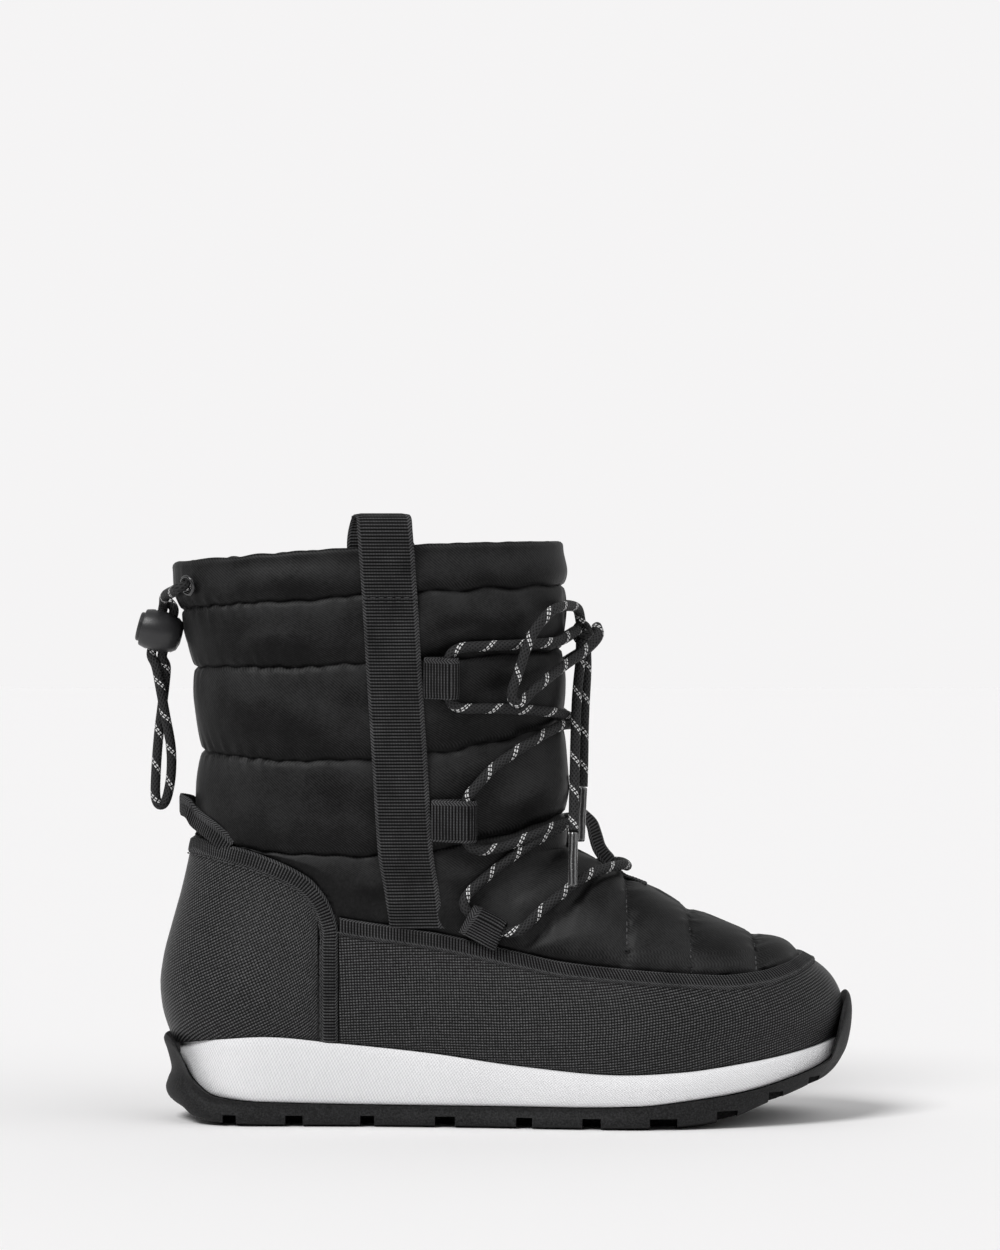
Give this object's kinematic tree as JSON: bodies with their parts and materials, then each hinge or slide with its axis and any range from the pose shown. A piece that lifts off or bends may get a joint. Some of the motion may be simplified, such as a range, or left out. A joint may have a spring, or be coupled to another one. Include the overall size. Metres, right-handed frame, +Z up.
{
  "type": "quilted winter boot",
  "caption": "Ankle-high quilted winter boot with a hollow padded shaft, coated foot panels, webbing lace keepers, a light foam midsole and a lugged rubber outsole.",
  "frame": {"origin": "on the floor under the middle of the boot's box", "axes": "+X towards the toe, +Z up, +Y towards the inner side of the foot"},
  "size_m": [0.2921, 0.1068, 0.2453],
  "materials": {
    "quilted_nylon": "matte padded nylon",
    "midsole_foam": "fine-grained white foam",
    "outsole_rubber": "matte black rubber",
    "insole_felt": "felt",
    "coated_fabric": "coated fabric with a fine cross hatch",
    "binding_tape": "ribbed tape",
    "webbing": "ribbed webbing",
    "lace_cord": "braided cord with white flecks",
    "clear_tip": "clear film round the lace end",
    "moulded_plastic": "moulded plastic",
    "black_metal": "black enamel"
  },
  "bodies": {
    "boot": {"upper": "quilted_nylon", "midsole": "midsole_foam", "outsole": "outsole_rubber", "insole": "insole_felt", "mudguard": "coated_fabric", "heel_counter": "coated_fabric", "mudguard_binding": "binding_tape", "counter_binding": "binding_tape", "lace_guide": "webbing", "heel_tab": "webbing", "strap_lateral": "webbing", "strap_medial": "webbing", "keeper_lateral_top": "webbing", "keeper_lateral_middle": "webbing", "keeper_lateral_low": "webbing", "keeper_medial_top": "webbing", "keeper_medial_middle": "webbing", "keeper_medial_low": "webbing", "lace_crossings": "lace_cord", "lace_knot": "lace_cord", "lace_loop_lateral": "lace_cord", "lace_loop_medial": "lace_cord", "lace_end_near": "lace_cord", "lace_end_far": "lace_cord", "drawcord": "lace_cord", "lace_tip_near": "clear_tip", "lace_tip_far": "clear_tip", "cord_lock_barrel": "moulded_plastic", "eyelet_lateral": "black_metal", "eyelet_medial": "black_metal"},
    "button": {"cord_lock_plunger": "moulded_plastic"}
  },
  "joints": [
    {"name": "cord_lock_press", "type": "slide", "parent": "boot", "child": "button", "axis": [0.9682, 0, -0.2501], "range_m": [0, 0.0024], "stiffness_N_per_m": 300}
  ]
}
